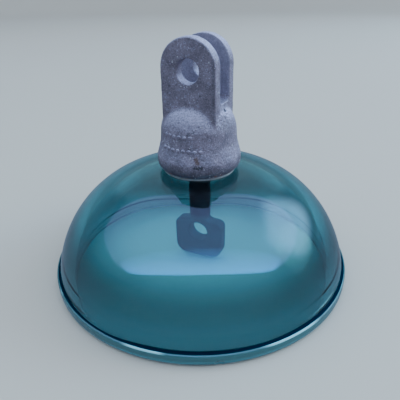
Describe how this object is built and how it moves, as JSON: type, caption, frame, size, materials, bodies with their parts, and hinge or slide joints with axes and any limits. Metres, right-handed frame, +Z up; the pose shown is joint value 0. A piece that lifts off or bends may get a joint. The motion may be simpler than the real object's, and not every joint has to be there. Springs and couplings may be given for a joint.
{
  "type": "suspension insulator unit",
  "caption": "Cap-and-pin suspension insulator unit: domed glass disc, cast clevis cap cemented on top, forged tongue pin below.",
  "frame": {"origin": "centre of the plane that the glass rim rests on", "axes": "+Z up the pull axis from the tongue to the clevis, +Y along both coupling holes, +X across the ears"},
  "size_m": [0.254, 0.254, 0.1925],
  "materials": {
    "cap_iron": "hot-dip galvanised malleable iron, weathered",
    "glass": "toughened teal glass, polished",
    "pin_steel": "hot-dip galvanised forged steel, dull",
    "cement": "cured cement",
    "cushion": "compressible disc"
  },
  "bodies": {
    "root": {"cap": "cap_iron", "glass_shell": "glass", "pin": "pin_steel", "cap_cement": "cement", "pin_cement": "cement", "head_cushion": "cushion", "pin_cushion": "cushion"}
  },
  "joints": []
}
